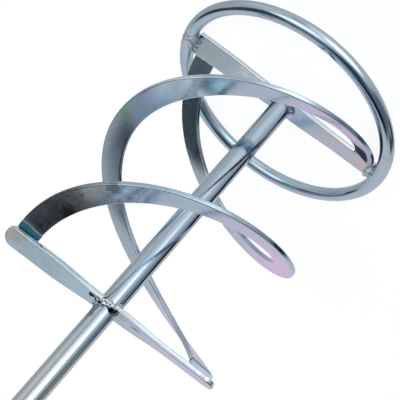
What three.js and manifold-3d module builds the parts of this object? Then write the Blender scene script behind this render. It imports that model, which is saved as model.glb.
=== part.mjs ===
// Mortar mixing paddle: a welded steel whisk on a round shaft, driven from a threaded adaptor.
// Millimetres, +Z up along the shaft. The origin is on the shaft's axis, level with the underside
// of the guard ring that the paddle stands on. The crossbars run along X.

import * as THREE from 'three';
import { mergeVertices } from 'three/addons/utils/BufferGeometryUtils.js';
import Module from 'manifold-3d';

const wasm = await Module();
wasm.setup();

const { degToRad } = THREE.MathUtils;

// ---------------------------------------------------------------- driving dimensions

const overallLength = 600;
const ringOuterDiameter = 140;
const ringRodDiameter = 8;
const shaftDiameter = 12;
const weldGap = 0.3;                 // clearance between touching pieces

const shaftRadius = shaftDiameter / 2;
const ringRodRadius = ringRodDiameter / 2;
const ringRadius = ringOuterDiameter / 2 - ringRodRadius;

// A crossbar is a flat bar twisted like a propeller: level at the shaft, turned at each end.
// heading turns it about Z, dip is its rise along +X, offset moves it sideways, and the twist
// builds up between two distances from the shaft.
const upperBar = {
  height: 162, reach: 63.5, width: 12.7, thickness: 2.7, offset: 0, heading: degToRad(1.1), dip: 0.005,
  rootTwist: degToRad(3.5), twistA: degToRad(21), twistB: degToRad(-10.4), twistFrom: 6, twistTo: 36,
};
const lowerBar = {
  height: 3.15, reach: 60.8, width: 14, thickness: 2.8, offset: -0.6, heading: degToRad(-1.6), dip: 0.007,
  rootTwist: degToRad(2.3), twistA: degToRad(17), twistB: degToRad(-7.7), twistFrom: 7, twistTo: 40,
};
const armEndRadius = 5;              // rounding of the upper arms' outer corners

// A blade is a flat strip that makes one right-handed turn from an upper arm to the lower bar.
// The waves are how far the hand-bent strip strays from a true helix.
const blade = {
  width: 12.7, thickness: 2.6, outerRadius: 60.1, startHeight: 158.6, endHeight: 0.6,
  heightWaves: [4.2, -4.1, -1.2], radiusWaves: [1.5, -5.7], radiusDrift: -1,
  tabLength: 5, endTurn: 0.984,
};

// The drive adaptor: a turned neck that sockets the shaft, a hexagon and a threaded stud.
const studDiameter = 14;
const studLength = 20;
const studChamfer = 1.5;
const hexAcrossFlats = 22;
const hexLength = 14;
const hexChamfer = 1.2;
const neckDiameter = 18;
const neckLength = 8;
const socketDepth = 16;

const hexTop = overallLength - studLength;
const hexBottom = hexTop - hexLength;
const neckBottom = hexBottom - neckLength;

// ---------------------------------------------------------------- materials

const zincPlate = new THREE.MeshStandardMaterial({ color: '#b3c1cb', roughness: 0.3, metalness: 1 });
const weldMetal = new THREE.MeshStandardMaterial({ color: '#8c979e', roughness: 0.55, metalness: 1 });

// ---------------------------------------------------------------- helpers

const paddle = new THREE.Group();
paddle.name = 'mortar_mixing_paddle';

function add(name, geometry, material = zincPlate) {
  const mesh = new THREE.Mesh(geometry, material.clone());
  mesh.name = name;
  paddle.add(mesh);
  return mesh;
}

// A closed geometry as a solid that can be cut and joined.
function solid(geometry) {
  const plain = geometry.clone();
  plain.deleteAttribute('normal');
  plain.deleteAttribute('uv');
  const merged = mergeVertices(plain, 1e-4);
  return new wasm.Manifold(new wasm.Mesh({
    numProp: 3,
    vertProperties: new Float32Array(merged.attributes.position.array),
    triVerts: new Uint32Array(merged.index.array),
  }));
}

// The largest separate body of a solid, as a geometry again.
function largestBody(cut) {
  const bodies = cut.decompose();
  bodies.sort((first, second) => second.volume() - first.volume());
  const mesh = bodies[0].getMesh();
  const geometry = new THREE.BufferGeometry();
  geometry.setAttribute('position', new THREE.BufferAttribute(new Float32Array(mesh.vertProperties), 3));
  geometry.setIndex(new THREE.BufferAttribute(new Uint32Array(mesh.triVerts), 1));
  return geometry;
}

// Moves every vertex of a geometry to the place that a function gives for it.
function reshape(geometry, place) {
  const positions = geometry.attributes.position;
  const point = new THREE.Vector3();
  for (let i = 0; i < positions.count; i += 1) {
    point.fromBufferAttribute(positions, i);
    const moved = place(point);
    positions.setXYZ(i, moved.x, moved.y, moved.z);
  }
  return geometry;
}

// ---------------------------------------------------------------- crossbars

// The point of a bar at a distance along it, across its width and through its thickness.
function barPoint(bar, along, across, through) {
  const endTwist = along > 0 ? bar.twistA : bar.twistB;
  const blend = THREE.MathUtils.smoothstep(Math.abs(along), bar.twistFrom, bar.twistTo);
  const twist = THREE.MathUtils.lerp(bar.rootTwist, endTwist, blend);
  const sideways = across * Math.cos(twist) - through * Math.sin(twist);
  const rise = across * Math.sin(twist) + through * Math.cos(twist);
  const lateral = sideways + bar.offset;
  return new THREE.Vector3(
    along * Math.cos(bar.heading) - lateral * Math.sin(bar.heading),
    along * Math.sin(bar.heading) + lateral * Math.cos(bar.heading),
    bar.height + bar.dip * along + rise,
  );
}

// A stretch of a bar between two places along it. grow makes it larger all round, for cutting
// its neighbours back, and rounding narrows the width towards a rounded outer end.
function barGeometry(bar, from, to, grow, rounding) {
  const length = to - from + 2 * grow;
  const segments = Math.ceil(length / 3);
  const box = new THREE.BoxGeometry(length, 1, bar.thickness + 2 * grow, segments, 1, 1);
  const middle = (from + to) / 2;
  return reshape(box, (point) => {
    let along = middle + point.x;
    let width = bar.width + 2 * grow;
    const beyond = Math.abs(along) - (bar.reach - rounding);
    if (rounding > 0 && beyond > 0) {
      const angle = Math.min(beyond / rounding, 1) * Math.PI / 2;
      along = Math.sign(along) * (bar.reach + grow - rounding * (1 - Math.sin(angle)));
      width -= 2 * rounding * (1 - Math.cos(angle));
    }
    return barPoint(bar, along, point.y * width, point.z);
  });
}

// An upper arm runs from the shaft, which its root is coped to, out to its rounded end.
function upperArm(side, grow = 0) {
  const root = shaftRadius / 2;
  const from = side > 0 ? root : -upperBar.reach;
  const to = side > 0 ? upperBar.reach : -root;
  return barGeometry(upperBar, from, to, grow, armEndRadius);
}

function lowerCrossbar(grow = 0) {
  return barGeometry(lowerBar, -lowerBar.reach, lowerBar.reach, grow, 0);
}

// ---------------------------------------------------------------- blades

// The middle of a blade's section, at a turn from 0 at the upper arm to 1 at the lower bar.
// Before turn 0 the blade lies flat under the arm, at the arm's own slope.
function bladeCentre(side, turn) {
  const inward = Math.max(turn, 0);
  let outer = blade.outerRadius + blade.radiusDrift * (inward - 0.5);
  blade.radiusWaves.forEach((size, i) => { outer += size * Math.sin((i + 1) * Math.PI * inward); });
  let height = THREE.MathUtils.lerp(blade.startHeight, blade.endHeight, inward);
  blade.heightWaves.forEach((size, i) => { height += size * Math.sin((i + 1) * Math.PI * inward); });
  const radius = outer - blade.width / 2;
  if (turn < 0) {
    const armSlope = Math.tan(Math.abs(side > 0 ? upperBar.twistA : upperBar.twistB));
    height += armSlope * -turn * 2 * Math.PI * radius;
  }
  const angle = (side > 0 ? 0 : Math.PI) - 2 * Math.PI * turn;
  return { angle, radius, height };
}

function bladePoint(side, turn, outward, through) {
  const step = 0.003;
  const here = bladeCentre(side, turn);
  const before = bladeCentre(side, turn - step);
  const after = bladeCentre(side, turn + step);
  const radial = new THREE.Vector3(Math.cos(here.angle), Math.sin(here.angle), 0);
  const forward = new THREE.Vector3(-Math.sin(here.angle), Math.cos(here.angle), 0);
  forward.multiplyScalar(here.radius * (after.angle - before.angle));
  forward.z = after.height - before.height;
  const upward = new THREE.Vector3().crossVectors(forward, radial).normalize();
  return new THREE.Vector3(0, 0, here.height)
    .addScaledVector(radial, here.radius + outward)
    .addScaledVector(upward, through);
}

function bladeGeometry(side, grow = 0) {
  const startTurn = -blade.tabLength / (2 * Math.PI * (blade.outerRadius - blade.width / 2));
  const segments = 80;
  const box = new THREE.BoxGeometry(
    1, blade.width + 2 * grow, blade.thickness + 2 * grow, segments, 1, 1,
  );
  return reshape(box, (point) => {
    const turn = THREE.MathUtils.lerp(startTurn, blade.endTurn, point.x + 0.5);
    return bladePoint(side, turn, point.y, point.z);
  });
}

// ---------------------------------------------------------------- shaft, ring and adaptor

function roundBar(radius, bottom, top, sides = 32) {
  const geometry = new THREE.CylinderGeometry(radius, radius, top - bottom, sides);
  return geometry.rotateX(Math.PI / 2).translate(0, 0, (bottom + top) / 2);
}

function guardRing(grow = 0) {
  const rodSides = 16;
  // A facet, not a corner, faces down, so the flat of the rod touches the ground.
  const cornerRadius = (ringRodRadius + grow) / Math.cos(Math.PI / rodSides);
  const turnedRod = Math.PI / rodSides;
  const geometry = new THREE.TorusGeometry(ringRadius, cornerRadius, rodSides, 96);
  return reshape(geometry, (point) => {
    const spin = Math.atan2(point.y, point.x);
    const out = Math.hypot(point.x, point.y) - ringRadius;
    const section = Math.atan2(point.z, out) + turnedRod;
    const radius = ringRadius + cornerRadius * Math.cos(section);
    return new THREE.Vector3(
      radius * Math.cos(spin),
      radius * Math.sin(spin),
      ringRodRadius + cornerRadius * Math.sin(section),
    );
  });
}

const lowerBarTop = lowerBar.height + lowerBar.thickness / 2;
const shaftFoot = lowerBarTop + weldGap + shaftRadius * Math.tan(lowerBar.rootTwist);
const socketTop = neckBottom + socketDepth;

function driveAdaptor() {
  const flatRadius = hexAcrossFlats / 2;
  const cornerRadius = flatRadius / Math.cos(Math.PI / 6);
  const studRadius = studDiameter / 2;
  const overlap = 1;                 // how far the joined solids reach into each other
  const hexagon = new THREE.CylinderGeometry(cornerRadius, cornerRadius, hexLength, 6, 1, false, Math.PI / 6);
  hexagon.rotateX(Math.PI / 2).translate(0, 0, (hexBottom + hexTop) / 2);
  const turned = new THREE.LatheGeometry([
    new THREE.Vector2(0, neckBottom),
    new THREE.Vector2(neckDiameter / 2, neckBottom),
    new THREE.Vector2(neckDiameter / 2, hexTop - overlap),
    new THREE.Vector2(studRadius, hexTop - overlap),
    new THREE.Vector2(studRadius, overallLength - studChamfer),
    new THREE.Vector2(studRadius - studChamfer, overallLength),
    new THREE.Vector2(0, overallLength),
  ], 32).rotateX(Math.PI / 2);
  // The corners of the hexagon are turned off to a cone above and below.
  const corners = new THREE.LatheGeometry([
    new THREE.Vector2(0, hexBottom - overlap),
    new THREE.Vector2(flatRadius - overlap, hexBottom - overlap),
    new THREE.Vector2(cornerRadius, hexBottom + hexChamfer),
    new THREE.Vector2(cornerRadius, hexTop - hexChamfer),
    new THREE.Vector2(flatRadius - overlap, hexTop + overlap),
    new THREE.Vector2(0, hexTop + overlap),
  ], 48).rotateX(Math.PI / 2);
  const socket = roundBar(shaftRadius + weldGap, neckBottom - overlap, socketTop);
  return largestBody(
    solid(hexagon).intersect(solid(corners)).add(solid(turned)).subtract(solid(socket)),
  );
}

// ---------------------------------------------------------------- welds

// What every weld is cut back from, so that it fills the corner between the pieces it joins.
const parent = {
  shaft: solid(roundBar(shaftRadius + weldGap, shaftFoot - weldGap, hexTop)),
  armA: solid(upperArm(1, weldGap)),
  armB: solid(upperArm(-1, weldGap)),
  lowerBar: solid(lowerCrossbar(weldGap)),
  bladeA: solid(bladeGeometry(1, weldGap)),
  bladeB: solid(bladeGeometry(-1, weldGap)),
  ring: solid(guardRing(weldGap)),
};

// A run of weld: a long rounded lump about a centre, uneven along its length. turn swings its
// length from X towards Y.
function bead({ centre, length, width, height, turn = 0 }) {
  const unevenness = 0.1;
  return (grow) => {
    const reach = [length / 2 + grow, width / 2 + grow, height / 2 + grow];
    const geometry = new THREE.SphereGeometry(1, 12, 10).rotateZ(Math.PI / 2);
    reshape(geometry, (point) => {
      const roundness = Math.max(1 - point.x ** 2, 1e-9);
      const fullness = Math.sqrt(Math.max(1 - point.x ** 4, 0) / roundness);
      const ripple = 1 + unevenness * Math.sin(7 * point.x + 2 * point.y);
      const swell = Math.abs(point.x) > 0.999 ? 1 : fullness * ripple;
      return new THREE.Vector3(point.x * reach[0], point.y * swell * reach[1], point.z * swell * reach[2]);
    });
    return geometry.rotateZ(turn).translate(...centre);
  };
}

// A collar of weld round the shaft.
function collar({ height, reach }) {
  return (grow) => {
    const geometry = new THREE.TorusGeometry(shaftRadius + weldGap, reach + grow, 8, 24);
    return geometry.translate(0, 0, height);
  };
}

// Lays a weld, cut back from the pieces it joins and from the welds laid before it.
const laidWelds = [];
function weld(name, shape, ...neighbours) {
  let rest = solid(shape(0));
  [...neighbours, ...laidWelds].forEach((other) => { rest = rest.subtract(other); });
  laidWelds.push(solid(shape(weldGap)));
  add(name, largestBody(rest), weldMetal);
}

// ---------------------------------------------------------------- assembly

add('shaft', roundBar(shaftRadius, shaftFoot, socketTop - weldGap));
add('drive_adaptor', driveAdaptor());
add('upper_arm_a', largestBody(solid(upperArm(1)).subtract(parent.shaft)));
add('upper_arm_b', largestBody(solid(upperArm(-1)).subtract(parent.shaft)));
add('lower_crossbar', lowerCrossbar());
add('blade_a', largestBody(solid(bladeGeometry(1)).subtract(parent.lowerBar)));
add('blade_b', largestBody(solid(bladeGeometry(-1)).subtract(parent.lowerBar)));
add('guard_ring', guardRing());

const neckShadow = solid(roundBar(neckDiameter / 2 + 1, neckBottom - weldGap, hexBottom));
weld('weld_adaptor', collar({ height: neckBottom - weldGap, reach: 2.2 }), parent.shaft, neckShadow);
weld('weld_shaft_foot', collar({ height: lowerBarTop + weldGap, reach: 2.4 }), parent.shaft, parent.lowerBar);

// The hub, where both upper arms are welded to the shaft along their edges.
const armFace = upperBar.height + upperBar.thickness / 2;
const armUnderside = armFace - upperBar.thickness;
const armEdge = upperBar.width / 2;
const hub = [parent.shaft, parent.armA, parent.armB];
weld('weld_upper_front', bead({
  centre: [0.4, 0.5 - armEdge, armFace + 1.5], length: 17.6, width: 5.6, height: 6.2,
}), ...hub);
weld('weld_upper_back', bead({
  centre: [0, armEdge - 0.2, armFace + 1.2], length: 17, width: 5.6, height: 5.4,
}), ...hub);
weld('weld_upper_under', bead({
  centre: [-3, 0.5 - armEdge, armUnderside - 0.8], length: 11, width: 4.2, height: 3,
}), ...hub);

// The joints at the two ends of each crossbar, and of the blade that runs between them.
const bladeMiddle = blade.outerRadius - blade.width / 2;
for (const [letter, side] of [['a', 1], ['b', -1]]) {
  const arm = side > 0 ? parent.armA : parent.armB;
  const strip = side > 0 ? parent.bladeA : parent.bladeB;
  const footing = [parent.lowerBar, strip, parent.ring];
  const armCorner = barPoint(upperBar, side * bladeMiddle, side * -armEdge, -upperBar.thickness / 2);
  const barEdge = side * lowerBar.width / 2;
  const barCorner = barPoint(lowerBar, side * bladeMiddle, barEdge, lowerBar.thickness / 2);
  const barEnd = barPoint(lowerBar, side * lowerBar.reach, 0, lowerBar.thickness / 2);
  const acrossBar = Math.PI / 2;

  weld(`weld_blade_${letter}_top`, bead({
    centre: armCorner.toArray(), length: 14, width: 3.6, height: 3,
  }), arm, strip);
  weld(`weld_blade_${letter}_foot`, bead({
    centre: barCorner.toArray(), length: 12, width: 5, height: 3.4,
  }), ...footing);
  weld(`weld_ring_${letter}_top`, bead({
    centre: [barEnd.x + side, barEnd.y, barEnd.z + 0.6], length: 13, width: 6.5, height: 5, turn: acrossBar,
  }), ...footing);
  weld(`weld_ring_${letter}_under`, bead({
    centre: [barEnd.x, barEnd.y, 1.8], length: 9, width: 4.4, height: 3.2, turn: acrossBar,
  }), ...footing);
}

export default paddle;
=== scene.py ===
# Mortar mixing paddle: the fine pieces, finishes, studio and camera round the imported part.
# Lengths in the tables are millimetres; everything else is metres, in the part's own frame.

import math

import bmesh
import bpy
from mathutils import Matrix, Vector, noise


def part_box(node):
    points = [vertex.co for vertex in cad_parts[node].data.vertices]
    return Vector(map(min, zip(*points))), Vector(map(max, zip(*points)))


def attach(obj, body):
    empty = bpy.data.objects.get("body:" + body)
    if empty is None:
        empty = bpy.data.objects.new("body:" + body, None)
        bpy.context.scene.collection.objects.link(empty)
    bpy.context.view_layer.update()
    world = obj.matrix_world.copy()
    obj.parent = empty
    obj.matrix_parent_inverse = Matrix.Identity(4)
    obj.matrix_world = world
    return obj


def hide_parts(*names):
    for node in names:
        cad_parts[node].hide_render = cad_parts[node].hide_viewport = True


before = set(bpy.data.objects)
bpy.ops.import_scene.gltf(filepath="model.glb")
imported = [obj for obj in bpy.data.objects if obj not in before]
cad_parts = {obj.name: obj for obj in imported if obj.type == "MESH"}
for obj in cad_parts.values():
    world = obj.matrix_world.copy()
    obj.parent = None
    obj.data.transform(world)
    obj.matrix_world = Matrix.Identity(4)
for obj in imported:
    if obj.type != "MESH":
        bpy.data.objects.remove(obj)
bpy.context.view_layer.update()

MM = 0.001
noise.seed_set(7)          # noise_vector starts from the clock otherwise


# ---------------------------------------------------------------- shape of the paddle

def limits(node):
    """The lowest and highest corner of a CAD node, in millimetres."""
    low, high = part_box(node)
    return low / MM, high / MM


RING_LOW, RING_HIGH = limits("guard_ring")
SHAFT_LOW, SHAFT_HIGH = limits("shaft")
ADAPTOR_LOW, ADAPTOR_HIGH = limits("drive_adaptor")

RING_ROD = (RING_HIGH.z - RING_LOW.z) / 2
RING_RADIUS = RING_HIGH.x - RING_ROD
SHAFT_RADIUS = SHAFT_HIGH.x

UPPER_BAR = dict(
    height=162, reach=63.5, width=12.7, thickness=2.7, offset=0, heading=1.1, dip=0.005,
    root_twist=3.5, twist_a=21, twist_b=-10.4, twist_from=6, twist_to=36,
)
LOWER_BAR = dict(
    height=3.15, reach=60.8, width=14, thickness=2.8, offset=-0.6, heading=-1.6, dip=0.007,
    root_twist=2.3, twist_a=17, twist_b=-7.7, twist_from=7, twist_to=40,
)
ARM_END_RADIUS = 5
BLADE = dict(
    width=12.7, thickness=2.6, outer_radius=60.1, start_height=158.6, end_height=0.6,
    height_waves=(4.2, -4.1, -1.2), radius_waves=(1.5, -5.7), radius_drift=-1,
    tab_length=5, end_turn=0.984,
)
EDGE_RADIUS = 0.55         # drawn flat bar has softly rounded edges

# How each blade departs from its even curve near its foot, between places given in turns.
BLADE_A_FOOT = dict(inset=1.4, start=0.82, end=0.96)
BLADE_B_FOOT = dict(drop=1.4, flare=0.4, start=0.66, roll=16.5, roll_start=0.63, roll_end=0.88)


def lerp(low, high, share):
    return low + (high - low) * share


def smoothstep(value, low, high):
    """Rises smoothly from 0 to 1 as value goes from low to high."""
    share = min(max((value - low) / (high - low), 0), 1)
    return share * share * (3 - 2 * share)


def bar_point(bar, along, across, through):
    """A point of a twisted flat bar, from its place along, across and through it."""
    end_twist = bar["twist_a"] if along > 0 else bar["twist_b"]
    blend = smoothstep(abs(along), bar["twist_from"], bar["twist_to"])
    twist = math.radians(lerp(bar["root_twist"], end_twist, blend))
    heading = math.radians(bar["heading"])
    lateral = across * math.cos(twist) - through * math.sin(twist) + bar["offset"]
    rise = across * math.sin(twist) + through * math.cos(twist)
    return Vector((
        along * math.cos(heading) - lateral * math.sin(heading),
        along * math.sin(heading) + lateral * math.cos(heading),
        bar["height"] + bar["dip"] * along + rise,
    ))


def blade_centre(side, turn):
    """The angle, radius and height of a blade's middle. Before its first turn starts, it runs on
    as a short tab under the slope of its arm."""
    below = max(turn, 0)
    outer = BLADE["outer_radius"] + BLADE["radius_drift"] * (below - 0.5)
    for i, size in enumerate(BLADE["radius_waves"]):
        outer += size * math.sin((i + 1) * math.pi * below)
    height = lerp(BLADE["start_height"], BLADE["end_height"], below)
    for i, size in enumerate(BLADE["height_waves"]):
        height += size * math.sin((i + 1) * math.pi * below)
    radius = outer - BLADE["width"] / 2
    if turn < 0:
        twist = UPPER_BAR["twist_a"] if side > 0 else UPPER_BAR["twist_b"]
        height += math.tan(math.radians(abs(twist))) * -turn * 2 * math.pi * radius
    angle = (0 if side > 0 else math.pi) - 2 * math.pi * turn
    return angle, radius, height


def blade_point(side, turn, outward, through):
    """A point of a helical blade, from its turn below the arm and its place in the section.
    Towards its foot, blade b rolls over to lie against the twisted end of the crossbar."""
    step = 0.003
    angle, radius, height = blade_centre(side, turn)
    if side > 0:
        foot = BLADE_A_FOOT
        radius -= foot["inset"] * smoothstep(turn, foot["start"], foot["end"])
    else:
        foot = BLADE_B_FOOT
        share = (turn - foot["start"]) / (BLADE["end_turn"] - foot["start"])
        bow = math.sin(math.pi * min(max(share, 0), 1))
        height -= foot["drop"] * bow
        radius += foot["flare"] * bow
        roll = math.radians(foot["roll"]) * smoothstep(turn, foot["roll_start"], foot["roll_end"])
        outward, through = (
            outward * math.cos(roll) - through * math.sin(roll),
            outward * math.sin(roll) + through * math.cos(roll),
        )
    before = blade_centre(side, turn - step)
    after = blade_centre(side, turn + step)
    radial = Vector((math.cos(angle), math.sin(angle), 0))
    forward = Vector((-math.sin(angle), math.cos(angle), 0)) * radius * (after[0] - before[0])
    forward.z = after[2] - before[2]
    upward = forward.cross(radial).normalized()
    return Vector((0, 0, height)) + radial * (radius + outward) + upward * through


# ---------------------------------------------------------------- mesh building

def section(half_width, half_thickness, radius, steps=5, wide=8, narrow=2):
    """A rounded rectangle, as (across, through) pairs once round it, with steps along each corner
    and points between them along its wide and narrow sides."""
    most = 0.98 * min(half_width, half_thickness)
    radius = max(min(radius, most), 0.01)
    flat_x = half_width - radius
    flat_y = half_thickness - radius
    corners = ((flat_x, flat_y), (-flat_x, flat_y), (-flat_x, -flat_y), (flat_x, -flat_y))
    points = []
    for i, (x, y) in enumerate(corners):
        for j in range(steps + 1):
            angle = (i + j / steps) * math.pi / 2
            points.append((x + radius * math.cos(angle), y + radius * math.sin(angle)))
        start = points[-1]
        after = corners[(i + 1) % 4]
        turn = (i + 1) * math.pi / 2
        end = (after[0] + radius * math.cos(turn), after[1] + radius * math.sin(turn))
        between = wide if i % 2 == 0 else narrow
        for j in range(1, between + 1):
            share = j / (between + 1)
            share = 0.5 - 0.5 * math.cos(math.pi * share)
            points.append((lerp(start[0], end[0], share), lerp(start[1], end[1], share)))
    return points


def sweep(name, rows, ring=False):
    """A closed mesh through rows of points, given in millimetres. A ring joins its last row to
    its first; otherwise both ends are capped. UVs run along the rows and round the section, in
    metres."""
    count = len(rows[0])
    points = [point * MM for row in rows for point in row]
    faces = []
    uvs = []
    middle_row = rows[len(rows) // 2]
    girth = [0]
    for j in range(count):
        girth.append(girth[-1] + (middle_row[j] - middle_row[(j + 1) % count]).length * MM)
    length = [0]
    for i in range(len(rows)):
        middle = sum(rows[i], Vector()) / count
        following = sum(rows[(i + 1) % len(rows)], Vector()) / count
        length.append(length[-1] + (following - middle).length * MM)
    for i in range(len(rows) if ring else len(rows) - 1):
        here = i * count
        after = (i + 1) % len(rows) * count
        for j in range(count):
            beside = (j + 1) % count
            faces.append((here + j, here + beside, after + beside, after + j))
            uvs.append(((length[i], girth[j]), (length[i], girth[j + 1]),
                        (length[i + 1], girth[j + 1]), (length[i + 1], girth[j])))
    if not ring:
        for at, order in ((0, -1), (len(rows) - 1, 1)):
            corners = [at * count + j for j in range(count)]
            faces.append(tuple(corners[::order]))
            uvs.append(tuple((length[at], girth[j]) for j in range(count))[::order])
    return make_mesh(name, points, faces, uvs)


def make_mesh(name, points, faces, uvs):
    mesh = bpy.data.meshes.new(name)
    mesh.from_pydata(points, [], faces)
    layer = mesh.uv_layers.new(name="UVMap")
    layer.data.foreach_set("uv", [value for face in uvs for corner in face for value in corner])
    mesh.validate()
    obj = bpy.data.objects.new(name, mesh)
    bpy.context.scene.collection.objects.link(obj)
    face_outward(mesh)
    mesh.shade_smooth()
    return obj


def face_outward(mesh):
    """Turns every face of a closed mesh to point out."""
    shape = bmesh.new()
    shape.from_mesh(mesh)
    bmesh.ops.recalc_face_normals(shape, faces=shape.faces)
    if shape.calc_volume(signed=True) < 0:
        bmesh.ops.reverse_faces(shape, faces=shape.faces)
    shape.to_mesh(mesh)
    shape.free()


def flat_shading(obj):
    """Keeps broad faces flat beside their rounded edges."""
    modifier = obj.modifiers.new("weighted", "WEIGHTED_NORMAL")
    modifier.keep_sharp = True
    modifier.weight = 70
    return obj


def finish_piece(obj, material, node):
    """Hands a finished piece to the frame, in place of its CAD node."""
    obj.data.materials.clear()
    obj.data.materials.append(material)
    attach(obj, "root")
    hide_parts(node)


def ramp_stations(start, end, step):
    """Evenly spread places from start to end, both included."""
    count = max(int(round(abs(end - start) / step)), 1)
    return [lerp(start, end, i / count) for i in range(count + 1)]


def end_rounding(radius, steps=5):
    """(how far before the end, how much the section shrinks) towards a rounded end."""
    angles = [i / steps * math.pi / 2 for i in range(steps + 1)]
    return [(radius * (1 - math.sin(a)), radius * (1 - math.cos(a))) for a in angles]


def strip_rows(place, start, end, step, half_width, half_thickness):
    """Rows of a strip with all its edges rounded. place(along, across, through) gives a point."""
    rounding = end_rounding(EDGE_RADIUS)
    stations = [(start + before, shrink) for before, shrink in reversed(rounding)]
    middle = ramp_stations(start + EDGE_RADIUS, end - EDGE_RADIUS, step)[1:-1]
    stations += [(along, 0) for along in middle]
    stations += [(end - before, shrink) for before, shrink in rounding]
    rows = []
    for along, shrink in stations:
        outline = section(half_width - shrink, half_thickness - shrink, EDGE_RADIUS)
        rows.append([place(along, across, through) for across, through in outline])
    return rows


# ---------------------------------------------------------------- crossbars and blades

STATION = 0.75             # about how far apart the rows of a bar are
BLADE_STATION = 0.9


def upper_arm(side):
    """An upper arm, from inside the shaft to its end with two rounded corners."""
    bar = UPPER_BAR
    name = "upper_arm_a_flat" if side > 0 else "upper_arm_b_flat"
    corner_steps = 24
    reach, half = bar["reach"], bar["width"] / 2
    straight = ramp_stations(SHAFT_RADIUS / 2, reach - ARM_END_RADIUS, STATION)
    stations = [(along, half, 0) for along in straight]
    for i in range(1, corner_steps + 1):
        angle = i / corner_steps * math.pi / 2
        along = reach - ARM_END_RADIUS * (1 - math.sin(angle))
        stations.append((along, half - ARM_END_RADIUS * (1 - math.cos(angle)), 0))
    for before, shrink in end_rounding(EDGE_RADIUS)[1:]:
        stations.append((reach - before, half - ARM_END_RADIUS - shrink, shrink))

    # The blade's weld has melted the end's edges a little, more on arm a.
    melted = 1 if side > 0 else 0.5
    edge_lumps = 0.45
    tip_lumps = 0.25
    rows = []
    for along, half_width, shrink in sorted(set(stations)):
        melt = melted * smoothstep(along, reach - 14, reach - 2)
        row = []
        for across, through in section(half_width, bar["thickness"] / 2 - shrink, EDGE_RADIUS):
            edge = smoothstep(abs(across), half_width - 2, half_width)
            bumpy = noise.noise(Vector((along * 0.35, across * 0.5, 3.1 * side)))
            lump = bumpy * edge_lumps * melt * edge
            tip = noise.noise(Vector((across * 0.45, 7.7, side))) * tip_lumps * melt
            scale = 1 + lump / max(half_width, 1)
            row.append(bar_point(bar, side * (along - abs(tip)), side * across * scale, through))
        rows.append(row)
    return flat_shading(sweep(name, rows))


def lower_crossbar():
    """One flat bar across the ring, twisted the opposite way at each end."""
    bar = LOWER_BAR
    reach = bar["reach"]
    rows = strip_rows(
        lambda along, across, through: bar_point(bar, along, across, through),
        -reach, reach, STATION, bar["width"] / 2, bar["thickness"] / 2,
    )
    return flat_shading(sweep("lower_crossbar_flat", rows))


def helical_blade(side):
    """A strip that winds once round the shaft, from its tab under an arm to the crossbar."""
    name = "blade_a_strip" if side > 0 else "blade_b_strip"
    mean_radius = BLADE["outer_radius"] - BLADE["width"] / 2
    around = 2 * math.pi * mean_radius

    def place(along, across, through):
        return blade_point(side, along / around, across, through)

    tab = BLADE["tab_length"] if side > 0 else BLADE["tab_length"] / 2
    rows = strip_rows(
        place, -tab, BLADE["end_turn"] * around, BLADE_STATION,
        BLADE["width"] / 2, BLADE["thickness"] / 2,
    )
    return flat_shading(sweep(name, rows))


# ---------------------------------------------------------------- round pieces

AXIS = 0.01                # closes a turned piece at its axis


def turned(name, profile, sides, shape):
    """A turned piece from (radius, height) pairs. shape(radius, height, angle) gives its radius
    at each angle round the axis."""
    rows = []
    for radius, height in profile:
        row = []
        for j in range(sides):
            angle = 2 * math.pi * j / sides
            reach = shape(radius, height, angle)
            row.append(Vector((reach * math.cos(angle), reach * math.sin(angle), height)))
        rows.append(row)
    return flat_shading(sweep(name, rows))


def shaft():
    """Drawn round bar: very slightly uneven, with a small chamfer at its foot."""
    chamfer = 0.6
    unevenness = 0.03
    bottom = SHAFT_LOW.z
    top = SHAFT_HIGH.z
    profile = [(AXIS, bottom), (SHAFT_RADIUS - chamfer, bottom)]
    profile += [(SHAFT_RADIUS, z) for z in ramp_stations(bottom + chamfer, top, 2.5)]
    profile += [(AXIS, top)]

    def uneven(radius, height, angle):
        if radius == AXIS:
            return radius
        wave = noise.noise(Vector((math.cos(angle) * 0.7, math.sin(angle) * 0.7, height * 0.02)))
        return radius - unevenness * abs(wave)

    return turned("shaft_bar", profile, 96, uneven)


def guard_ring():
    """Bent round rod, with the slight flats that the bending rolls leave."""
    bends = 288
    sides = 40
    flat_depth = 0.05
    rows = []
    for i in range(bends):
        spin = 2 * math.pi * i / bends
        row = []
        for j in range(sides):
            angle = 2 * math.pi * j / sides
            wave = noise.noise(Vector((math.cos(spin) * 2.2, math.sin(spin) * 2.2, angle * 0.4)))
            rod = RING_ROD - flat_depth * abs(wave)
            radius = RING_RADIUS + rod * math.cos(angle)
            height = RING_ROD + rod * math.sin(angle)
            row.append(Vector((radius * math.cos(spin), radius * math.sin(spin), height)))
        rows.append(row)
    return sweep("guard_ring_rod", rows, ring=True)


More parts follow.
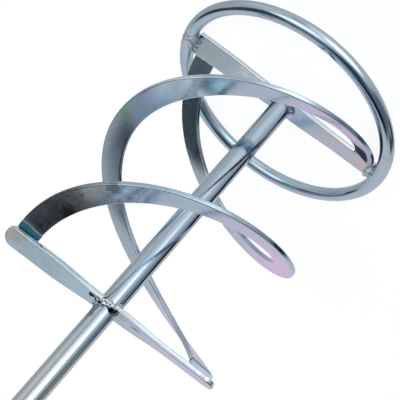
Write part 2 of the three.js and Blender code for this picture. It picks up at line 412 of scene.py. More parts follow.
def drive_adaptor():
    """Neck, hexagon with turned corners, undercut and a right-hand M14 x 2 thread."""
    top = ADAPTOR_HIGH.z
    bottom = ADAPTOR_LOW.z
    neck = 9
    neck_length = 8
    weld_gap = 0.3
    stud = 7
    stud_length = 20
    pitch = 2
    depth = 1.2
    undercut = 1.6
    lead_in = 1.5
    chamfer = 1.2
    corner_trim = 0.12
    hex_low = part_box("weld_adaptor")[1].z / MM + weld_gap + neck_length
    hex_high = top - stud_length
    hex_flat = ADAPTOR_HIGH.y
    hex_face = hex_flat - 0.9      # where the hexagon's ends are still flat
    hex_corner = hex_flat / math.cos(math.pi / 6)
    sides_low = hex_low + chamfer
    sides_high = hex_high - chamfer
    profile = [(SHAFT_RADIUS, bottom + 0.4), (neck - 0.5, bottom), (neck, bottom + 0.5)]
    profile += [(neck, hex_low - 0.4), (neck + 0.4, hex_low), (hex_face, hex_low)]
    profile += [(hex_corner, sides_low)]
    profile += [(hex_corner, z) for z in ramp_stations(sides_low + 0.4, sides_high - 0.4, 1)]
    profile += [(hex_corner, sides_high), (hex_face, hex_high)]
    profile += [(stud - depth, hex_high), (stud - depth, hex_high + undercut)]
    profile += [(stud, z) for z in ramp_stations(hex_high + undercut + 0.2, top - 0.05, pitch / 16)]
    profile += [(AXIS, top)]

    def outline(radius, height, angle):
        if radius >= hex_face:
            flat = hex_flat / math.cos(angle % (math.pi / 3) - math.pi / 6)
            return min(radius, flat, hex_corner - corner_trim)
        if height > hex_high + undercut + 0.1 and radius > AXIS:
            phase = (height / pitch - angle / (2 * math.pi)) % 1
            flank = abs(phase - 0.5) * 2
            cut = depth * min(max((flank - 0.12) / 0.72, 0), 1)
            run_out = smoothstep(height, hex_high + undercut + 0.2, hex_high + undercut + 1.8)
            thread = lerp(radius - depth, radius - cut, run_out)
            return min(thread, stud - max(height - (top - lead_in), 0))
        return radius

    return turned("drive_adaptor_turned", profile, 144, outline)


# ---------------------------------------------------------------- welds

def weld_body(name, blobs, seed, lumps=0.25, pits=(), voxel=0.2):
    """One body of weld metal from overlapping balls, given as (centre, radius, flatness), with an
    uneven skin and round pits, given as (centre, radius), all in millimetres."""
    pits = [(Vector(centre), radius) for centre, radius in pits]
    pit_depth = 0.55           # over its radius
    shape = bmesh.new()
    for centre, radius, flatness in blobs:
        made = bmesh.ops.create_icosphere(shape, subdivisions=3, radius=radius)
        for vertex in made["verts"]:
            vertex.co.z *= flatness
            vertex.co += centre
    mesh = bpy.data.meshes.new(name)
    shape.to_mesh(mesh)
    shape.free()
    rough = bpy.data.objects.new(name, mesh)
    bpy.context.scene.collection.objects.link(rough)
    remesh = rough.modifiers.new("fuse", "REMESH")
    remesh.mode = "VOXEL"
    remesh.voxel_size = voxel
    smooth = rough.modifiers.new("soften", "SMOOTH")
    smooth.factor = 0.5
    smooth.iterations = 8
    shown = rough.evaluated_get(bpy.context.evaluated_depsgraph_get())
    fused = bpy.data.meshes.new_from_object(shown)
    bpy.data.objects.remove(rough)
    bpy.data.meshes.remove(mesh)
    fused.name = name
    offset = Vector((seed * 13.7, seed * 5.1, seed * 2.3))
    normals = [vertex.normal.copy() for vertex in fused.vertices]
    for vertex, normal in zip(fused.vertices, normals):
        rise = noise.noise(vertex.co * 0.5 + offset) * lumps
        rise += noise.noise(vertex.co * 1.5 + offset) * lumps * 0.25
        for centre, radius in pits:
            distance = (vertex.co - centre).length
            if distance < radius:
                rise -= pit_depth * radius * (1 - smoothstep(distance, 0, radius))
        vertex.co += normal * rise
    fused.transform(Matrix.Scale(MM, 4))
    fused.shade_smooth()
    obj = bpy.data.objects.new(name, fused)
    bpy.context.scene.collection.objects.link(obj)
    return obj


def trail(path, radius, seed, flatness=0.9, swell=0.25, wander=0.2, step=0.45):
    """Balls closely spaced along a path of points, swelling, wandering and thinner towards both
    ends, for weld_body."""
    lengths = [0]
    for start, end in zip(path, path[1:]):
        lengths.append(lengths[-1] + (end - start).length)
    blobs = []
    count = max(int(lengths[-1] / step), 2)
    for i in range(count + 1):
        at = lengths[-1] * i / count
        k = max(j for j in range(len(lengths)) if lengths[j] <= at + 1e-9)
        k = min(k, len(path) - 2)
        share = (at - lengths[k]) / max(lengths[k + 1] - lengths[k], 1e-9)
        centre = path[k].lerp(path[k + 1], share)
        sample = Vector((at * 0.42, seed * 3.1, 0.5))
        taper = 1 - 0.3 * abs(2 * i / count - 1) ** 4
        size = radius * taper * (1 + 2 * swell * noise.noise(sample))
        blobs.append((centre + noise.noise_vector(sample) * wander * 2, size, flatness))
    return blobs


def run_of_weld(name, path, radius, seed, flatness=0.9, swell=0.25, wander=0.2, lumps=0.25):
    """A plain run of weld along a path."""
    return weld_body(name, trail(path, radius, seed, flatness, swell, wander), seed, lumps)


def arc(radius, start, end, count, height):
    """Points on a level arc round the shaft's axis, between two angles in degrees."""
    angles = [math.radians(lerp(start, end, i / count)) for i in range(count + 1)]
    return [Vector((radius * math.cos(a), radius * math.sin(a), height)) for a in angles]


# Drops of the hub's front weld, as (centre, radius): below the arms' face, then above it.
HUB_DROPS = (
    ((3.3, -6.1, 162), 1.1), ((1.6, -6.4, 162.2), 1.4), ((-0.3, -6.5, 162), 1.5),
    ((-2.2, -6.3, 162.2), 1.2), ((2.2, -6, 164), 1.2), ((0.4, -6.2, 163.8), 1.1),
    ((-1.2, -6.4, 164.2), 1.1), ((-3, -6, 164), 1.5), ((-4.5, -5.6, 163.7), 1.3),
    ((-5.1, -5.7, 162.7), 0.9),
)

# Pits in the hub's welds, as (centre, radius), and soot on them, in the same way.
HUB_PITS = (
    ((-2.6, -7.3, 165), 1.2), ((-3.7, -7.2, 165.2), 1.2), ((-4.9, -6.7, 164.6), 1),
    ((-5.3, -6.5, 163.2), 0.8), ((-3.4, -7.5, 164.2), 0.7), ((-0.8, -7.4, 165), 0.8),
    ((0.3, -7.3, 164.6), 0.6), ((2.6, -6.9, 165.6), 0.8), ((3.6, -6.6, 164.6), 0.6),
    ((5.3, -5.8, 163.7), 0.7), ((6.9, -5, 164), 0.6), ((8.3, -4, 163.9), 0.7),
    ((9.9, -3.5, 163.7), 0.8), ((-4.3, -5, 158.2), 0.7), ((1.6, -7.3, 163.4), 0.5),
    ((7.6, -4.6, 163.9), 0.7), ((-2.6, -6.3, 165.5), 1), ((-4, -6, 165.3), 0.8),
    ((4.5, -6.4, 165), 0.7), ((5.6, -5.5, 164.6), 0.6),
)
HUB_SOOT = (
    ((-3.2, -6.9, 165), 1.9), ((10.4, -3.5, 163.6), 1.2), ((8.7, -3.8, 163.8), 1.1),
    ((6.4, -5, 164.2), 1.1),
)

# And pits in the weld at the crossbar's end a.
RING_PITS = (
    ((60.2, -7.6, 5.3), 0.9), ((58, -6.4, 5.6), 0.8), ((59.4, -8.8, 4.2), 0.8),
    ((66.5, -5.6, 9), 0.7), ((65.2, -1.6, 9.2), 0.6), ((68.2, -0.6, 8.2), 0.6),
    ((62.6, -3.4, 7), 0.5), ((58.6, -1.4, 6.6), 0.5),
)


def hub_welds():
    """The welds of the arms to the shaft, as {CAD node: piece}. In front, a smooth fillet lies
    between the shaft and the face of each arm, a ragged trail runs out along arm a, and heavy
    drops hang across the arms' edges where they meet."""
    face = UPPER_BAR["thickness"] / 2
    arm_top = UPPER_BAR["height"] + face
    arm_under = arm_top - UPPER_BAR["thickness"]
    front = []
    for start, end in ((-74, -14), (-106, -150)):
        for out, rise, size in ((0.2, 0.4, 1.7), (-0.5, 1.7, 1.3)):
            fillet = arc(SHAFT_RADIUS + out, start, end, 9, arm_top + rise)
            front += trail(fillet, size, 3, 1, 0.08, 0.05)
    ragged = [
        bar_point(UPPER_BAR, along, across, face - 0.1)
        for along, across in ((11, -3.6), (9.6, -3.5), (8.2, -4.3), (6.6, -4.6), (5, -5.6))
    ]
    front += trail(ragged, 0.6, 12, 0.8, 0.6, 0.4)
    bridge = [Vector((6.6, -4.4, arm_top + 0.6)), Vector((3, -6, arm_top + 1.6))]
    front += trail(bridge, 0.8, 9, 0.9, 0.5, 0.3)
    front += [(Vector(centre), radius, 1) for centre, radius in HUB_DROPS]
    back = arc(SHAFT_RADIUS + 0.7, 12, 124, 14, arm_top + 0.6)
    under = [
        Vector((x, y, arm_under - drop)) for x, y, drop in (
            (-6.3, -1.6, 0.2), (-5.7, -3, 0.6), (-4.8, -4.3, 0.6), (-3.5, -5.3, 0.2),
        )
    ]
    under = trail(under, 1.15, 8, 1.3, 0.1, 0.05) + [(Vector((-3.9, -4.2, 158.3)), 1.3, 1)]
    return {
        "weld_upper_front": weld_body("weld_upper_front_run", front, 3, 0.22, HUB_PITS, 0.18),
        "weld_upper_back": run_of_weld("weld_upper_back_run", back, 1.8, 5),
        "weld_upper_under": weld_body("weld_upper_under_run", under, 8, 0.25, HUB_PITS),
    }


def shaft_welds():
    """The collars of weld round the shaft's foot and under the adaptor."""
    bar_top = LOWER_BAR["height"] + LOWER_BAR["thickness"] / 2
    foot = arc(SHAFT_RADIUS + 0.5, 0, 360, 40, bar_top + 0.5)
    for point in foot:
        if abs(point.y) > LOWER_BAR["width"] / 2 - 1.5:
            point.z -= 0.5
    adaptor = arc(SHAFT_RADIUS + 0.6, 0, 360, 40, ADAPTOR_LOW.z - 0.5)
    return {
        "weld_shaft_foot": run_of_weld("weld_shaft_foot_run", foot, 1.5, 11),
        "weld_adaptor": run_of_weld("weld_adaptor_run", adaptor, 1.5, 13, 0.9, 0.1, 0.1),
    }


def blade_welds(letter, side):
    """The welds of one blade to its arm and to the crossbar."""
    middle = BLADE["outer_radius"] - BLADE["width"] / 2
    inset = 3.4                # of the weld's line from the arm's edge
    top = [
        bar_point(UPPER_BAR, side * (middle + along), side * (inset - UPPER_BAR["width"] / 2),
                  -UPPER_BAR["thickness"] / 2 - 0.2)
        for along in (-6.3, -3, 0, 3, 6.3)
    ]
    foot = [
        bar_point(LOWER_BAR, side * (middle + along), side * LOWER_BAR["width"] / 2,
                  LOWER_BAR["thickness"] / 2 - 1.1)
        for along in (-5.5, -2, 2, 5.5)
    ]
    top_node = f"weld_blade_{letter}_top"
    foot_node = f"weld_blade_{letter}_foot"
    return {
        top_node: run_of_weld(f"{top_node}_run", top, 0.75, 17 + side, 0.9, 0.1, 0.08, 0.1),
        foot_node: run_of_weld(f"{foot_node}_run", foot, 1.0, 23 + side, 0.9, 0.2, 0.1),
    }


def ring_welds(letter, side):
    """The welds of one end of the crossbar to the ring. Above, two rows run across the bar's end,
    and more lie along the ring's rod: right over it at end a, and on its inner side at end b."""
    end_half = LOWER_BAR["width"] / 2
    top = []
    for out, rise, size, flatness in ((-1.2, 0.9, 1.9, 0.9), (2.4, 0.3, 2.2, 0.85)):
        row = [
            bar_point(LOWER_BAR, side * (LOWER_BAR["reach"] + out),
                      lerp(0.9 - end_half, end_half - 0.9, i / 8),
                      LOWER_BAR["thickness"] / 2 + rise - 0.8)
            for i in range(9)
        ]
        top += trail(row, size, 31 + side, flatness, 0.2, 0.25)
    depth = RING_ROD - 0.9     # of the middle of a row, from the middle of the rod
    for turn in (52, 72, 92, 112, 132, 152) if side > 0 else (135, 160):
        reach = RING_RADIUS + depth * math.cos(math.radians(turn))
        height = RING_ROD + depth * math.sin(math.radians(turn))
        row = []
        for i in range(9):
            y = bar_point(LOWER_BAR, side * RING_RADIUS, lerp(-5.8, 7, i / 8), 0).y
            row.append(Vector((side * math.sqrt(reach * reach - y * y), y, height)))
        top += trail(row, 1.35, 41 + turn, 1, 0.12, 0.2, 0.7)
    under = []
    for i in range(7):
        across = lerp(-end_half + 2.5, end_half - 2.5, i / 6)
        point = bar_point(LOWER_BAR, side * (LOWER_BAR["reach"] - 0.5), across, 0)
        under.append(Vector((point.x, point.y, 1.7)))
    top_node = f"weld_ring_{letter}_top"
    under_node = f"weld_ring_{letter}_under"
    lumps = 0.4 if side > 0 else 0.18
    return {
        top_node: weld_body(f"{top_node}_run", top, 31 + side, lumps, RING_PITS),
        under_node: run_of_weld(f"{under_node}_run", under, 1.35, 37 + side),
    }


def lay_welds():
    """Every weld, as {CAD node: piece}."""
    welds = {**hub_welds(), **shaft_welds()}
    for letter, side in (("a", 1), ("b", -1)):
        welds.update(blade_welds(letter, side))
        welds.update(ring_welds(letter, side))
    return welds


# ---------------------------------------------------------------- finishes

ROUND = (1, 1, 1)          # scale of a patch that is equally wide along every axis

ZINC = (0.53, 0.65, 0.77)
LILAC = (0.66, 0.60, 0.78)
TEAL = (0.38, 0.62, 0.70)
PALE = (0.66, 0.75, 0.83)
STRAW = (0.62, 0.58, 0.46)
WARM_ZINC = (0.63, 0.69, 0.70)
# painted highlight on the narrow sides of flat bars
EDGE_HIGHLIGHT = (0.86, 0.95, 1.0)
FLECK = (0.16, 0.19, 0.23)
BAND_TEAL = (0.07, 0.34, 0.42)
BAND_RIM = (0.66, 0.84, 0.92)
SMOKE = (0.15, 0.17, 0.20)
SMOKE_BROWN = (0.22, 0.18, 0.13)
SOOT = (0.06, 0.065, 0.07)
# painted shade at a blade's foot: dark, and the metal is turned off there
PAINTED_SHADE_COLOUR = (0.022, 0.042, 0.055)
WELD_GREY = (0.55, 0.66, 0.75)
WELD_CREST = (0.74, 0.82, 0.88)
WELD_HOLLOW = (0.10, 0.11, 0.12)
WELD_SMUDGE = (0.17, 0.165, 0.16)
SCALE_BROWN = (0.07, 0.045, 0.04)
PIT_BLACK = (0.008, 0.008, 0.009)


class Nodes:
    """Short calls for the nodes of a material or a world under construction."""

    def __init__(self, tree):
        self.tree = tree

    def feed(self, value, socket):
        """Sets a socket to a number or a colour, or links another socket to it."""
        if isinstance(value, (int, float)):
            socket.default_value = value
        elif isinstance(value, tuple):
            socket.default_value = (*value, 1)
        else:
            self.tree.links.new(value, socket)

    def math(self, kind, first, second=0.0):
        node = self.tree.nodes.new("ShaderNodeMath")
        node.operation = kind
        self.feed(first, node.inputs[0])
        self.feed(second, node.inputs[1])
        return node.outputs[0]

    def mix(self, share, first, second):
        node = self.tree.nodes.new("ShaderNodeMix")
        node.data_type = "RGBA"
        self.feed(share, node.inputs[0])
        self.feed(first, node.inputs[6])
        self.feed(second, node.inputs[7])
        return node.outputs[2]

    def fade(self, value, low, high, first=0.0, last=1.0):
        """Runs smoothly from first to last as value runs from low to high."""
        node = self.tree.nodes.new("ShaderNodeMapRange")
        node.interpolation_type = "SMOOTHSTEP"
        self.feed(value, node.inputs["Value"])
        node.inputs["From Min"].default_value = low
        node.inputs["From Max"].default_value = high
        node.inputs["To Min"].default_value = first
        node.inputs["To Max"].default_value = last
        return node.outputs["Result"]


class Finish(Nodes):
    """A metal under construction. colour and rough are what the calls so far have built."""

    def __init__(self, name, colour, roughness):
        self.material = bpy.data.materials.new(name)
        self.material.use_nodes = True
        super().__init__(self.material.node_tree)
        self.shader = self.tree.nodes["Principled BSDF"]
        self.shader.inputs["Metallic"].default_value = 1
        self.shader.inputs["Roughness"].default_value = roughness
        coordinates = self.tree.nodes.new("ShaderNodeTexCoord")
        self.place = coordinates.outputs["Object"]
        self.along = coordinates.outputs["UV"]
        self.colour = colour
        self.rough = roughness
        self.bumps = None

    def times(self, first, second):
        return self.math("MULTIPLY", first, second)

    def stretch(self, vector, scale, move=(0, 0, 0)):
        node = self.tree.nodes.new("ShaderNodeMapping")
        self.feed(vector, node.inputs["Vector"])
        node.inputs["Scale"].default_value = scale
        node.inputs["Location"].default_value = move
        return node.outputs[0]

    def noise(self, vector, size, detail=3, roughness=0.5, distortion=0.0):
        """Noise whose features are about size millimetres across."""
        node = self.tree.nodes.new("ShaderNodeTexNoise")
        self.feed(vector, node.inputs["Vector"])
        node.inputs["Scale"].default_value = 1 / (size * MM)
        node.inputs["Detail"].default_value = detail
        node.inputs["Roughness"].default_value = roughness
        node.inputs["Distortion"].default_value = distortion
        return node.outputs["Fac"]

    def cells(self, vector, size):
        """Distance to the nearest of points scattered about size millimetres apart."""
        node = self.tree.nodes.new("ShaderNodeTexVoronoi")
        self.feed(vector, node.inputs["Vector"])
        node.inputs["Scale"].default_value = 1 / (size * MM)
        return node.outputs["Distance"]

    def span(self, value, start, full, fading, end):
        """Rises from 0 at start to 1 at full, and falls from fading to 0 at end. The four are in
        millimetres."""
        rise = self.fade(value, start * MM, full * MM)
        return self.times(rise, self.fade(value, fading * MM, end * MM, 1, 0))

    def parts(self, vector):
        node = self.tree.nodes.new("ShaderNodeSeparateXYZ")
        self.feed(vector, node.inputs[0])
        return node.outputs

    def near(self, point, reach, core=0.0, uneven=0.0, scale=ROUND):
        """1 at a point given in millimetres, fading to 0 at reach; uneven is added to the
        distance, and scale shortens the patch along an axis."""
        node = self.tree.nodes.new("ShaderNodeVectorMath")
        node.operation = "DISTANCE"
        place = self.place if scale == ROUND else self.stretch(self.place, scale)
        self.feed(place, node.inputs[0])
        middle = [value * MM * factor for value, factor in zip(point, scale)]
        node.inputs[1].default_value = middle
        distance = self.math("ADD", node.outputs["Value"], uneven)
        return self.fade(distance, core * MM, reach * MM, 1, 0)

    def tint(self, share, colour):
        """Covers the colour with another, by a share from 0 to 1."""
        self.colour = self.mix(share, self.colour, colour)

    def roughen(self, amount):
        self.rough = self.math("ADD", self.rough, amount)

    def dull(self, share, amount):
        """Adds an amount to the roughness, by a share from 0 to 1."""
        self.roughen(self.times(share, amount))

    def painted_reflections(self, patches):
        """Painted reflections, light and dark: soft smooth patches, as (point, reach, share,
        colour, scale).
        """
        for point, reach, share, colour, scale in patches:
            patch = self.near(point, reach, reach * 0.3, 0.0, scale)
            self.tint(self.times(patch, share), colour)

    def stains(self, marks, dulling):
        """Ragged stains, as (point, reach, share, colour, scale), rougher by dulling."""
        ragged = self.math("SUBTRACT", self.noise(self.place, 2.2, 4, 0.65), 0.5)
        for point, reach, share, colour, scale in marks:
            uneven = self.times(ragged, 1.6 * reach * MM)
            mark = self.times(self.near(point, reach, reach * 0.35, uneven, scale), share)
            self.tint(mark, colour)
            self.dull(mark, dulling)

    def bump(self, height, depth, strength=1.0):
        """Adds relief of a depth in millimetres."""
        node = self.tree.nodes.new("ShaderNodeBump")
        node.inputs["Distance"].default_value = depth * MM
        node.inputs["Strength"].default_value = strength
        self.feed(height, node.inputs["Height"])
        if self.bumps is not None:
            self.tree.links.new(self.bumps, node.inputs["Normal"])
        self.bumps = node.outputs["Normal"]

    def done(self):
        self.feed(self.colour, self.shader.inputs["Base Color"])
        self.feed(self.rough, self.shader.inputs["Roughness"])
        self.tree.links.new(self.bumps, self.shader.inputs["Normal"])
        return self.material


def plated(name, line_stretch, gloss, tint_size, lilac):
    """Bright zinc plate over drawn steel: faint tints in patches, draw lines along the bar, a
    fine grain, sparse pits and flecks."""
    f = Finish(name, ZINC, gloss)
    patches = f.noise(f.place, tint_size, 2, 0.5, 0.6)
    others = f.noise(f.stretch(f.place, ROUND, (0.3, 0.1, 0.2)), tint_size * 0.7, 2, 0.5, 0.8)
    f.tint(f.fade(patches, 0.5, 0.68, 0, lilac), LILAC)
    f.tint(f.fade(others, 0.54, 0.7, 0, 0.5), TEAL)
    cloud = f.noise(f.place, 3.5, 4, 0.6)
    f.tint(f.fade(cloud, 0.5, 0.75, 0, 0.3), PALE)
    lines = f.noise(f.stretch(f.along, (line_stretch, 1, 1)), 0.5, 3, 0.6)
    specks = f.fade(f.cells(f.place, 2.6), 0.05, 0.11, 1, 0)
    specks = f.times(specks, f.fade(f.noise(f.place, 9, 1), 0.5, 0.62))
    f.tint(f.times(specks, 0.55), FLECK)
    f.roughen(f.fade(cloud, 0.35, 0.75, -0.03, 0.07))
    f.roughen(f.fade(lines, 0.3, 0.7, -0.02, 0.04))
    f.dull(specks, 0.3)
    f.bump(f.noise(f.place, 9, 2), 0.028)
    f.bump(lines, 0.0024)
    f.bump(f.noise(f.place, 0.55, 3, 0.65), 0.004)
    f.bump(specks, 0.03, 0.8)
    return f


def painted_edge_highlights(f, share, bar):
    """Painted highlight: brightens the narrow sides of a bar, found by the distance round its
    section.
    """
    width, thickness = bar["width"] * MM, bar["thickness"] * MM
    girth = f.parts(f.along)[1]
    first = f.math("ABSOLUTE", f.math("SUBTRACT", girth, width + thickness * 0.3))
    second = f.math("ABSOLUTE", f.math("SUBTRACT", girth, 2 * width + thickness))
    distance = f.math("MINIMUM", first, second)
    f.tint(f.fade(distance, thickness * 0.34, thickness * 0.5, share, 0), EDGE_HIGHLIGHT)


def teal_band(f, smoke):
    """Tints the plate where a blade meets its arm: a dark teal band with a pale rim. Past it, the
    strip is sooty by smoke, from 0 to 1."""
    middle = BLADE["tab_length"] + UPPER_BAR["width"] / 2
    start = middle - 3
    end = middle + 1.6
    wander = f.times(f.math("SUBTRACT", f.noise(f.place, 6, 2), 0.5), 2.2 * MM)
    run = f.math("ADD", f.parts(f.along)[0], wander)
    band = f.span(run, start, start + 0.6, end - 0.9, end)
    f.tint(f.times(band, 0.92), BAND_TEAL)
    f.dull(band, 0.5)
    rim = f.span(run, end - 0.5, end, end, end + 0.7)
    f.tint(f.times(rim, 0.7), BAND_RIM)
    f.dull(rim, 0.5)
    if not smoke:
        return
    sooty = f.times(f.span(run, end + 0.5, end + 3, end + 30, end + 52), smoke)
    f.tint(sooty, SMOKE)
    f.dull(sooty, 0.16)
    brown = f.times(sooty, f.fade(f.noise(f.place, 9, 5, 0.65), 0.48, 0.64))
    f.tint(f.times(brown, f.fade(run, (end + 8) * MM, (end + 16) * MM)), SMOKE_BROWN)
    cloud = f.noise(f.stretch(f.place, ROUND, (0.2, 0, 0)), 7, 5, 0.7)
    f.tint(f.times(sooty, f.fade(cloud, 0.52, 0.66)), SOOT)


def painted_shade_patch(f, point):
    """Painted shade, dark and not metallic, on a strip's inner side round a point."""
    inner = f.fade(f.parts(f.along)[1], 2.4 * MM, 4.2 * MM)
    painted_shade = f.times(f.near(point, 19, 15), inner)
    f.tint(painted_shade, PAINTED_SHADE_COLOUR)
    f.dull(painted_shade, 0.8)
    f.feed(f.math("SUBTRACT", 1, painted_shade), f.shader.inputs["Metallic"])


def flat_bar_finish(name, marks, painted_reflections=(), lilac=0.15, edges=None, smoke=None, painted_shade=None):
    """Zinc plate on flat bar, with its stains (marks) and painted reflections, light and dark, as
    soft patches. edges is (share, bar) for a painted highlight on the narrow sides; a blade has
    smoke, how sooty it is past its teal band, and may have the point at its foot where painted
    shade lies."""
    f = plated(name, 0.04, 0.15, 24, lilac)
    f.painted_reflections(painted_reflections)
    if edges:
        painted_edge_highlights(f, *edges)
    if smoke is not None:
        teal_band(f, smoke)
    f.stains(marks, 0.12)
    if painted_shade:
        painted_shade_patch(f, painted_shade)
    return f.done()


def round_bar_finish(name, gloss, marks=(), warm_from=None):
    """Zinc plate on drawn round bar, brighter and smoother. Above warm_from, in millimetres, the
    plate is a little warmer."""
    f = plated(name, 0.02, gloss, 30, 0.1)
    if warm_from:
        height = f.parts(f.place)[2]
        f.tint(f.fade(height, warm_from * MM, (warm_from + 30) * MM, 0, 0.75), WARM_ZINC)
    f.stains(marks, 0.25)
    return f.done()


def weld_finish(name, gloss, contrast, spots, hub=False):
    """Weld metal under thin plate: bright crests, duller hollows, and black spots with ragged
    edges, as (centre, radius). The hub has a smudge and a brown drop too."""
    f = Finish(name, WELD_GREY, gloss)
    lumps = f.noise(f.place, 2.2, 2, 0.5)
    hollows = f.noise(f.stretch(f.place, ROUND, (0.1, 0, 0)), 1.8, 3, 0.6)
    hollows = f.times(f.fade(hollows, 0.58, 0.66), contrast)
    f.tint(f.fade(lumps, 0.4, 0.6), WELD_CREST)
    f.tint(f.times(f.fade(f.noise(f.place, 3, 3), 0.58, 0.7), contrast), STRAW)
    f.tint(hollows, WELD_HOLLOW)
    f.dull(hollows, 0.3)
    ragged = f.times(f.math("SUBTRACT", f.noise(f.place, 0.9, 3, 0.6), 0.5), 2.6 * MM)
    if hub:
        smudge = f.near((-5.4, -4.6, 164.9), 3.4, 0.6)
        f.tint(f.times(smudge, 0.8), WELD_SMUDGE)
        f.dull(smudge, 0.3)
        f.tint(f.near((3.3, -6.9, 161.4), 1.3, 0.6, ragged), SCALE_BROWN)
    for point, radius in spots:
        black = f.near(point, radius * 1.15, radius * 0.7, ragged)
        f.tint(black, PIT_BLACK)
        f.dull(black, 0.3)
    f.bump(lumps, 0.06)
    f.bump(f.noise(f.place, 0.9, 3), 0.03)
    return f.done()


# Stains, and painted reflections light and dark, as (point in millimetres, reach, share, colour,
# scale).
ARM_MARKS = (
    ((38, 0, 164), 42, 0.5, (0.54, 0.76, 0.86), ROUND),
    ((-16.4, -2.4, 163.4), 2.4, 0.75, (0.16, 0.15, 0.14), (1, 1.8, 1)),
    ((-18.8, -3, 163.4), 2, 0.7, (0.14, 0.12, 0.11), (1, 1.6, 1)),
    ((56, -3, 162), 6, 0.6, STRAW, ROUND),
    ((61, 1, 164), 4.5, 0.55, (0.80, 0.62, 0.42), ROUND),
    ((-58, -4, 163), 5, 0.3, (0.7, 0.6, 0.62), ROUND),
    ((9.5, -4, 163.6), 3.4, 0.5, (0.2, 0.22, 0.24), (1, 2, 1)),
    ((-9, -3, 163.5), 3.2, 0.45, (0.3, 0.3, 0.3), ROUND),
)
BAR_END_B = bar_point(LOWER_BAR, -LOWER_BAR["reach"], 0, 0)
BAR_MARKS = (
    (BAR_END_B, 15, 0.75, (0.80, 0.62, 0.62), ROUND),
    ((-36, 0, 4), 16, 0.4, (0.72, 0.6, 0.68), ROUND),
    ((44, -3, 4.5), 34, 0.9, (0.80, 0.92, 1.0), ROUND),
)
BLADE_A_MARKS = (
    ((46, -24, 147), 9, 0.6, (0.09, 0.09, 0.09), ROUND),
    ((40.5, -23, 145), 6.5, 0.9, (0.03, 0.03, 0.03), ROUND),
    ((37, -38.5, 137), 5.5, 0.5, (0.60, 0.60, 0.50), ROUND),
    ((32.5, -43, 134), 6, 0.45, (0.3, 0.3, 0.29), ROUND),
    ((28, -46, 131.5), 5, 0.75, (0.10, 0.13, 0.15), ROUND),
)
# Painted reflection on blade a: a soft dark patch low on its +Y side.
BLADE_A_PAINTED_REFLECTIONS = (
    ((23, 47.5, 34), 13, 0.9, (0.25, 0.29, 0.34), ROUND),
)
BLADE_B_MARKS = (
    ((-54, -20, 13), 26, 0.75, (0.50, 0.50, 0.80), ROUND),
)
# Painted reflections on blade b: soft lighter and darker patches standing in for what it mirrors.
BLADE_B_PAINTED_REFLECTIONS = (
    ((52, -22, 77), 17, 0.9, (0.44, 0.61, 0.60), ROUND),
    ((39, -47, 66), 20, 0.95, (0.81, 0.96, 1.0), ROUND),
    ((47.5, 2, 87.5), 24, 0.92, (0.21, 0.27, 0.35), (1.35, 0.9, 0.9)),
    ((24.5, -54.5, 59.2), 8.5, 0.75, (0.17, 0.30, 0.42), ROUND),
    ((21.5, -57.5, 57.2), 6.5, 0.9, (0.42, 0.74, 0.95), ROUND),
)
# Where painted shade darkens blade b's inner side at its foot, by the crossbar.
BLADE_B_PAINTED_SHADE = (-51.5, -11, 9)
SHAFT_MARKS = (
    ((3.9, -4.7, 171.4), 3.4, 0.62, (0.50, 0.26, 0.14), (1.3, 1, 1.4)),
)
ADAPTOR_MARKS = (
    (tuple(ADAPTOR_LOW), 9, 0.4, STRAW, ROUND),
)

arm_zinc = flat_bar_finish("arm_zinc_look", ARM_MARKS, edges=(0.95, UPPER_BAR))
bar_zinc = flat_bar_finish("crossbar_zinc_look", BAR_MARKS, edges=(0.65, LOWER_BAR))
blade_a_zinc = flat_bar_finish("blade_a_zinc_look", BLADE_A_MARKS, BLADE_A_PAINTED_REFLECTIONS, smoke=0.9)
blade_b_zinc = flat_bar_finish(
    "blade_b_zinc_look", BLADE_B_MARKS, BLADE_B_PAINTED_REFLECTIONS, 0.03, smoke=0, painted_shade=BLADE_B_PAINTED_SHADE)
shaft_zinc = round_bar_finish("shaft_zinc_look", 0.06, SHAFT_MARKS, 172)
ring_zinc = round_bar_finish("ring_zinc_look", 0.08)
adaptor_zinc = round_bar_finish("adaptor_zinc_look", 0.18, ADAPTOR_MARKS)
hub_weld = weld_finish("hub_weld_look", 0.12, 0.45, HUB_PITS + HUB_SOOT, hub=True)
plain_weld = weld_finish("plain_weld_look", 0.34, 0.15, RING_PITS)

finish_piece(shaft(), shaft_zinc, "shaft")
finish_piece(guard_ring(), ring_zinc, "guard_ring")
finish_piece(drive_adaptor(), adaptor_zinc, "drive_adaptor")
finish_piece(upper_arm(1), arm_zinc, "upper_arm_a")
finish_piece(upper_arm(-1), arm_zinc, "upper_arm_b")
finish_piece(lower_crossbar(), bar_zinc, "lower_crossbar")
finish_piece(helical_blade(1), blade_a_zinc, "blade_a")
finish_piece(helical_blade(-1), blade_b_zinc, "blade_b")
for node, piece in lay_welds().items():
    finish_piece(piece, hub_weld if "upper" in node else plain_weld, node)


# ---------------------------------------------------------------- camera

AZIMUTH = -0.1492          # radians: how far the view is turned about the shaft
ELEVATION = 0.4982         # radians above the ground
ROLL = -2.4281             # radians: the view is rolled so that the shaft's free end comes low left
DISTANCE = 0.527
AIM_HEIGHT = 0.079
FOCAL_RATIO = 2.50489      # focal length over the frame's width
SENSOR = 36
SLIDE_LEFT = 0.00306
SLIDE_DOWN = 0.00278

back = Vector((
    math.sin(AZIMUTH) * math.cos(ELEVATION),
    -math.cos(AZIMUTH) * math.cos(ELEVATION),
    math.sin(ELEVATION),
))
level_right = Vector((math.cos(AZIMUTH), math.sin(AZIMUTH), 0))
level_up = back.cross(level_right)
right = level_right * math.cos(ROLL) + level_up * math.sin(ROLL)
up = level_up * math.cos(ROLL) - level_right * math.sin(ROLL)
place = Vector((0, 0, AIM_HEIGHT)) + back * DISTANCE - right * SLIDE_LEFT - up * SLIDE_DOWN

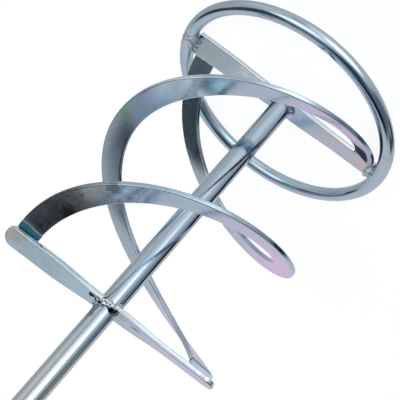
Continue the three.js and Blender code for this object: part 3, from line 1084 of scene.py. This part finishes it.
camera_data = bpy.data.cameras.new("camera")
camera = bpy.data.objects.new("camera", camera_data)
bpy.context.scene.collection.objects.link(camera)
camera.matrix_world = Matrix((
    (right.x, up.x, back.x, place.x),
    (right.y, up.y, back.y, place.y),
    (right.z, up.z, back.z, place.z),
    (0, 0, 0, 1),
))
camera_data.sensor_width = SENSOR
camera_data.lens = FOCAL_RATIO * SENSOR
camera_data.clip_start = 0.01
camera_data.clip_end = 50
bpy.context.scene.camera = camera


# ---------------------------------------------------------------- studio

def floor():
    """A wide pale disc just under the guard ring. It is lit evenly and isn't mirrored in the
    metal, which reflects the studio instead."""
    sides = 48
    gap = 0.00002              # under the ring
    points = []
    for radius in (0.01, 2, 8):
        for j in range(sides):
            angle = 2 * math.pi * j / sides
            points.append((radius * math.cos(angle), radius * math.sin(angle), -gap))
    faces = []
    for inner in (0, sides):
        outer = inner + sides
        for j in range(sides):
            beside = (j + 1) % sides
            faces.append((inner + j, outer + j, outer + beside, inner + beside))
    faces.append(tuple(range(sides)))
    mesh = bpy.data.meshes.new("floor")
    mesh.from_pydata(points, [], faces)
    obj = bpy.data.objects.new("floor", mesh)
    bpy.context.scene.collection.objects.link(obj)
    material = bpy.data.materials.new("floor_look")
    material.use_nodes = True
    shader = material.node_tree.nodes["Principled BSDF"]
    shader.inputs["Base Color"].default_value = (0.3, 0.3, 0.3, 1)
    shader.inputs["Roughness"].default_value = 0.9
    shader.inputs["Specular IOR Level"].default_value = 0
    shader.inputs["Emission Color"].default_value = (1, 1, 1, 1)
    shader.inputs["Emission Strength"].default_value = 0.88
    obj.data.materials.append(material)
    obj.visible_glossy = False


# Soft panels and dark flags round the paddle: (bearing and elevation of the middle, half width
# and half height, softness of the edge, colour, strength). Later ones cover earlier ones. Angles
# are degrees; bearing 0 is +X and 90 is +Y.
STUDIO = (
    (110, 20, 55, 60, 0.7, (1.0, 0.98, 1.0), 0.68),
    (90, -4, 24, 24, 0.7, (1.1, 0.92, 1.05), 0.7),
    (86, -22, 18, 16, 0.6, (1.2, 0.84, 1.12), 0.68),
    (15, -5, 50, 50, 0.6, (0.98, 1.0, 1.0), 0.48),
    (-32, -10, 24, 16, 0.6, (1.06, 1.02, 0.96), 0.7),
    (-65, -18, 9, 26, 0.7, (0.94, 1, 1.02), 0.44),
    (-92, -32, 30, 24, 0.6, (1, 1, 1), 0.82),
    (-84, -12, 12, 12, 0.6, (1, 1, 1), 1.15),
    (100, 84, 24, 16, 0.5, (0.75, 1.0, 1.1), 0.05),
    (-80, 84, 30, 16, 0.5, (0.75, 1.0, 1.1), 0.1),
    (0, 51, 33, 19, 0.4, (0.75, 1.0, 1.1), 0.07),
    (33, 36, 15, 20, 0.3, (0.8, 1.0, 1.1), 0.07),
    (-146, 56, 42, 30, 0.5, (0.7, 1.0, 1.3), 0.04),
    (193, 15, 26, 56, 0.5, (0.8, 1.0, 1.2), 0.17),
    (172, 52, 18, 28, 0.5, (0.6, 1.0, 1.4), 0.015),
    (163, 0, 11, 22, 0.6, (0.7, 1.0, 1.2), 0.07),
    (167, -29, 16, 14, 0.5, (0.6, 1.0, 1.4), 0.012),
    (-94, 16, 25, 38, 0.7, (1, 1, 1), 0.8),
    (-109, -4, 22, 24, 0.5, (1, 1, 1), 2.0),
    (-62, 36, 24, 20, 0.55, (1, 1, 1), 1.55),
)
STUDIO_BASE = 0.6


def toward(bearing, elevation):
    bearing = math.radians(bearing)
    elevation = math.radians(elevation)
    return Vector((
        math.cos(elevation) * math.cos(bearing),
        math.cos(elevation) * math.sin(bearing),
        math.sin(elevation),
    ))


def studio():
    """The world that the metal reflects: the soft panels and flags of STUDIO over grey."""
    world = bpy.data.worlds.new("studio")
    bpy.context.scene.world = world
    world.use_nodes = True
    n = Nodes(world.node_tree)
    direction = n.tree.nodes.new("ShaderNodeTexCoord").outputs["Generated"]

    def along(axis):
        node = n.tree.nodes.new("ShaderNodeVectorMath")
        node.operation = "DOT_PRODUCT"
        n.feed(direction, node.inputs[0])
        node.inputs[1].default_value = axis
        return node.outputs["Value"]

    colour = (STUDIO_BASE, STUDIO_BASE, STUDIO_BASE)
    for bearing, elevation, half_width, half_height, softness, tint, strength in STUDIO:
        middle = toward(bearing, elevation)
        side = toward(bearing + 90, 0)
        rise = middle.cross(side)
        x = n.math("DIVIDE", along(side), math.sin(math.radians(half_width)))
        y = n.math("DIVIDE", along(rise), math.sin(math.radians(half_height)))
        squares = n.math("ADD", n.math("MULTIPLY", x, x), n.math("MULTIPLY", y, y))
        behind = n.math("MULTIPLY", n.math("LESS_THAN", along(middle), 0), 10)
        reach = n.math("ADD", n.math("SQRT", squares), behind)
        cover = n.fade(reach, 1 + softness / 2, 1 - softness)
        colour = n.mix(cover, colour, tuple(part * strength for part in tint))

    # Beyond the floor's edge, the view itself is as pale as the floor.
    seen = n.tree.nodes.new("ShaderNodeLightPath").outputs["Is Camera Ray"]
    n.feed(n.mix(seen, colour, (1, 1, 1)), n.tree.nodes["Background"].inputs["Color"])


floor()
studio()
bpy.context.scene.view_settings.view_transform = "Standard"
